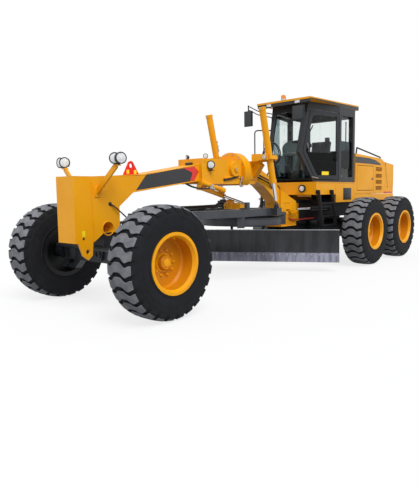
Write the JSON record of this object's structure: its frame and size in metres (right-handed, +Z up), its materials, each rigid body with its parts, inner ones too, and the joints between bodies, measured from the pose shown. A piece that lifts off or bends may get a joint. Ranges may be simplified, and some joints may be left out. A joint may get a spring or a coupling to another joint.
{
  "type": "motor grader",
  "caption": "Six-wheeled articulated motor grader with a long beam frame, a turning blade under it, a tall cab and a rear engine hood on tandem wheels.",
  "frame": {"origin": "on the ground, on the machine's centre line, midway along its length", "axes": "+X forward, +Y to the driver's left, +Z up"},
  "size_m": [8.9784, 3.3695, 3.4],
  "materials": {
    "yellow_paint": "satin",
    "black_paint": "satin",
    "tyre_rubber": "matt",
    "cylinder_steel": "polished",
    "blade_steel": "worn",
    "edge_steel": "worn",
    "clear_glass": "clear",
    "black_plastic": "matt",
    "seat_fabric": "woven"
  },
  "bodies": {
    "rear_frame": {"rear_chassis": "black_paint", "tandem_drive": "yellow_paint", "deck": "yellow_paint", "cab_frame": "black_paint", "cab_glass": "clear_glass", "cab_roof": "yellow_paint", "seat": "seat_fabric", "controls": "black_plastic", "hood": "yellow_paint", "tail_cowl": "yellow_paint", "engine": "black_paint", "steps_and_rails": "black_paint", "lamps": "black_plastic", "tow_hitch": "black_paint"},
    "front_frame": {"front_frame": "yellow_paint", "saddle": "yellow_paint", "front_lugs": "yellow_paint", "front_lamps": "black_plastic", "front_axle": "black_paint"},
    "lean_left": {"lean_yoke_left": "black_paint"},
    "lean_right": {"lean_yoke_right": "black_paint"},
    "lean_link": {"lean_bar": "black_paint"},
    "steer_link": {"tie_rod": "cylinder_steel"},
    "steer_left": {"knuckle_left": "black_paint"},
    "steer_right": {"knuckle_right": "black_paint"},
    "wheel_front_left": {"tyre_front_left": "tyre_rubber", "rim_front_left": "yellow_paint"},
    "wheel_front_right": {"tyre_front_right": "tyre_rubber", "rim_front_right": "yellow_paint"},
    "wheel_mid_left": {"tyre_mid_left": "tyre_rubber", "rim_mid_left": "yellow_paint"},
    "wheel_mid_right": {"tyre_mid_right": "tyre_rubber", "rim_mid_right": "yellow_paint"},
    "wheel_rear_left": {"tyre_rear_left": "tyre_rubber", "rim_rear_left": "yellow_paint"},
    "wheel_rear_right": {"tyre_rear_right": "tyre_rubber", "rim_rear_right": "yellow_paint"},
    "drawbar_ball": {"drawbar_ball": "black_paint"},
    "drawbar": {"drawbar": "black_paint", "circle_drive": "yellow_paint"},
    "circle": {"circle": "black_paint"},
    "blade_carrier": {"blade_carrier": "yellow_paint"},
    "blade": {"moldboard": "blade_steel", "cutting_edge": "edge_steel"},
    "lift_yoke_left": {"lift_yoke_left": "yellow_paint"},
    "lift_barrel_left": {"lift_barrel_left": "yellow_paint"},
    "lift_rod_left": {"lift_rod_left": "cylinder_steel"},
    "articulation_barrel_left": {"articulation_barrel_left": "yellow_paint"},
    "articulation_rod_left": {"articulation_rod_left": "cylinder_steel"},
    "door_left": {"door_left": "black_paint"},
    "hood_door_left": {"hood_door_left": "yellow_paint"},
    "lift_yoke_right": {"lift_yoke_right": "yellow_paint"},
    "lift_barrel_right": {"lift_barrel_right": "yellow_paint"},
    "lift_rod_right": {"lift_rod_right": "cylinder_steel"},
    "articulation_barrel_right": {"articulation_barrel_right": "yellow_paint"},
    "articulation_rod_right": {"articulation_rod_right": "cylinder_steel"},
    "door_right": {"door_right": "black_paint"},
    "hood_door_right": {"hood_door_right": "yellow_paint"},
    "shift_barrel": {"shift_barrel": "yellow_paint"},
    "shift_rod": {"shift_rod": "cylinder_steel"}
  },
  "joints": [
    {"name": "articulation", "type": "hinge", "parent": "rear_frame", "child": "front_frame", "pos_m": [-0.68, 0, 1.075], "axis": [0, 0, 1], "range_deg": [-27, 27]},
    {"name": "articulation_swing_left", "type": "hinge", "parent": "rear_frame", "child": "articulation_barrel_left", "pos_m": [-1.28, 0.5, 1.15], "axis": [0, 0, 1], "range_deg": [-8.29, 8.29]},
    {"name": "articulation_stroke_left", "type": "slide", "parent": "articulation_barrel_left", "child": "articulation_rod_left", "axis": [0.9798, -0.2, 0], "range_m": [-0.17304, 0.17304]},
    {"name": "articulation_swing_right", "type": "hinge", "parent": "rear_frame", "child": "articulation_barrel_right", "pos_m": [-1.28, -0.5, 1.15], "axis": [0, 0, 1], "range_deg": [-8.29, 8.29]},
    {"name": "articulation_stroke_right", "type": "slide", "parent": "articulation_barrel_right", "child": "articulation_rod_right", "axis": [0.9798, 0.2, 0], "range_m": [-0.17304, 0.17304]},
    {"name": "lean_left", "type": "hinge", "parent": "front_frame", "child": "lean_left", "pos_m": [3.82, 0.87, 0.5], "axis": [1, 0, 0], "range_deg": [-17, 17]},
    {"name": "lean_right", "type": "hinge", "parent": "front_frame", "child": "lean_right", "pos_m": [3.82, -0.87, 0.5], "axis": [1, 0, 0], "range_deg": [-17.02, 17.02]},
    {"name": "lean_link", "type": "hinge", "parent": "lean_left", "child": "lean_link", "pos_m": [3.97, 0.87, 0.777], "axis": [1, 0, 0], "range_deg": [-17.02, 17.02]},
    {"name": "steer_left", "type": "hinge", "parent": "lean_left", "child": "steer_left", "pos_m": [3.82, 0.87, 0.674], "axis": [0, 0, 1], "range_deg": [-45, 45]},
    {"name": "steer_right", "type": "hinge", "parent": "lean_right", "child": "steer_right", "pos_m": [3.82, -0.87, 0.674], "axis": [0, 0, 1], "range_deg": [-45.05, 45.05]},
    {"name": "steer_link", "type": "slide", "parent": "lean_link", "child": "steer_link", "axis": [0, 1, 0], "range_m": [-0.11047, 0.11047]},
    {"name": "wheel_spin_front_left", "type": "hinge", "parent": "steer_left", "child": "wheel_front_left", "pos_m": [3.82, 1.117, 0.674], "axis": [0, 1, 0], "continuous": true},
    {"name": "wheel_spin_front_right", "type": "hinge", "parent": "steer_right", "child": "wheel_front_right", "pos_m": [3.82, -1.117, 0.674], "axis": [0, 1, 0], "continuous": true},
    {"name": "wheel_spin_mid_left", "type": "hinge", "parent": "rear_frame", "child": "wheel_mid_left", "pos_m": [-1.716, 1.0815, 0.674], "axis": [0, 1, 0], "continuous": true},
    {"name": "wheel_spin_mid_right", "type": "hinge", "parent": "rear_frame", "child": "wheel_mid_right", "pos_m": [-1.716, -1.0815, 0.674], "axis": [0, 1, 0], "continuous": true},
    {"name": "wheel_spin_rear_left", "type": "hinge", "parent": "rear_frame", "child": "wheel_rear_left", "pos_m": [-3.254, 1.0815, 0.674], "axis": [0, 1, 0], "continuous": true},
    {"name": "wheel_spin_rear_right", "type": "hinge", "parent": "rear_frame", "child": "wheel_rear_right", "pos_m": [-3.254, -1.0815, 0.674], "axis": [0, 1, 0], "continuous": true},
    {"name": "drawbar_swing", "type": "hinge", "parent": "front_frame", "child": "drawbar_ball", "pos_m": [3.5, 0, 1], "axis": [0, 0, 1], "range_deg": [-6.5, 6.5]},
    {"name": "drawbar_lift", "type": "hinge", "parent": "drawbar_ball", "child": "drawbar", "pos_m": [3.5, 0, 1], "axis": [0, 1, 0], "range_deg": [-12.5, 2.5]},
    {"name": "lift_yoke_left", "type": "hinge", "parent": "front_frame", "child": "lift_yoke_left", "pos_m": [0.91, 0.576, 2.04], "axis": [1, 0, 0], "range_deg": [-22.5, 22.5]},
    {"name": "lift_tilt_left", "type": "hinge", "parent": "lift_yoke_left", "child": "lift_barrel_left", "pos_m": [0.91, 0.576, 2.04], "axis": [0, 1, 0], "range_deg": [-6.64, 1.33]},
    {"name": "lift_stroke_left", "type": "slide", "parent": "lift_barrel_left", "child": "lift_rod_left", "axis": [-0.2484, 0, -0.9687], "range_m": [-0.12, 0.59998]},
    {"name": "lift_yoke_right", "type": "hinge", "parent": "front_frame", "child": "lift_yoke_right", "pos_m": [0.91, -0.576, 2.04], "axis": [1, 0, 0], "range_deg": [-22.5, 22.5]},
    {"name": "lift_tilt_right", "type": "hinge", "parent": "lift_yoke_right", "child": "lift_barrel_right", "pos_m": [0.91, -0.576, 2.04], "axis": [0, 1, 0], "range_deg": [-6.64, 1.33]},
    {"name": "lift_stroke_right", "type": "slide", "parent": "lift_barrel_right", "child": "lift_rod_right", "axis": [-0.2484, 0, -0.9687], "range_m": [-0.12, 0.59998]},
    {"name": "shift_swing", "type": "hinge", "parent": "front_frame", "child": "shift_barrel", "pos_m": [1.32, -0.6, 1.56], "axis": [1, 0, 0], "range_deg": [-22.57, 4.51]},
    {"name": "shift_stroke", "type": "slide", "parent": "shift_barrel", "child": "shift_rod", "axis": [0, 0.963, -0.2696], "range_m": [-0.23807, 0.23807]},
    {"name": "circle_turn", "type": "hinge", "parent": "drawbar", "child": "circle", "pos_m": [0.94, 0, 0.99], "axis": [0, 0, 1], "continuous": true},
    {"name": "blade_tip", "type": "hinge", "parent": "circle", "child": "blade_carrier", "pos_m": [0.24978, -0.40447, 0.4], "axis": [-0.5056, 0.8628, 0], "range_deg": [-5, 35]},
    {"name": "blade_shift", "type": "slide", "parent": "blade_carrier", "child": "blade", "axis": [0.5056, -0.8628, 0], "range_m": [-0.6, 0.6]},
    {"name": "door_left", "type": "hinge", "parent": "rear_frame", "child": "door_left", "pos_m": [-1.44843, 0.58071, 2.365], "axis": [0, 0, 1], "range_deg": [0, 100]},
    {"name": "hood_door_left", "type": "hinge", "parent": "rear_frame", "child": "hood_door_left", "pos_m": [-2.335, 0.588, 1.755], "axis": [0, 0, -1], "range_deg": [0, 80]},
    {"name": "door_right", "type": "hinge", "parent": "rear_frame", "child": "door_right", "pos_m": [-1.44843, -0.58071, 2.365], "axis": [0, 0, -1], "range_deg": [0, 100]},
    {"name": "hood_door_right", "type": "hinge", "parent": "rear_frame", "child": "hood_door_right", "pos_m": [-2.335, -0.588, 1.755], "axis": [0, 0, 1], "range_deg": [0, 80]}
  ],
  "couplings": [
    {"joint": "articulation_swing_left", "follows": "articulation", "ratio": 0.30659},
    {"joint": "articulation_stroke_left", "follows": "articulation", "m_per_rad": -0.36683},
    {"joint": "articulation_swing_right", "follows": "articulation", "ratio": 0.30659},
    {"joint": "articulation_stroke_right", "follows": "articulation", "m_per_rad": 0.36683},
    {"joint": "lean_right", "follows": "lean_left", "ratio": 1},
    {"joint": "lean_link", "follows": "lean_left", "ratio": -1},
    {"joint": "steer_right", "follows": "steer_left", "ratio": 1},
    {"joint": "steer_link", "follows": "steer_left", "m_per_rad": -0.14051},
    {"joint": "lift_yoke_left", "follows": "drawbar_swing", "ratio": -3.4573},
    {"joint": "lift_tilt_left", "follows": "drawbar_lift", "ratio": 0.531},
    {"joint": "lift_stroke_left", "follows": "drawbar_lift", "m_per_rad": -2.7474},
    {"joint": "lift_yoke_right", "follows": "drawbar_swing", "ratio": -3.4573},
    {"joint": "lift_tilt_right", "follows": "drawbar_lift", "ratio": 0.531},
    {"joint": "lift_stroke_right", "follows": "drawbar_lift", "m_per_rad": -2.7474},
    {"joint": "shift_swing", "follows": "drawbar_lift", "ratio": 1.8035},
    {"joint": "shift_stroke", "follows": "drawbar_swing", "m_per_rad": -2.0964}
  ]
}
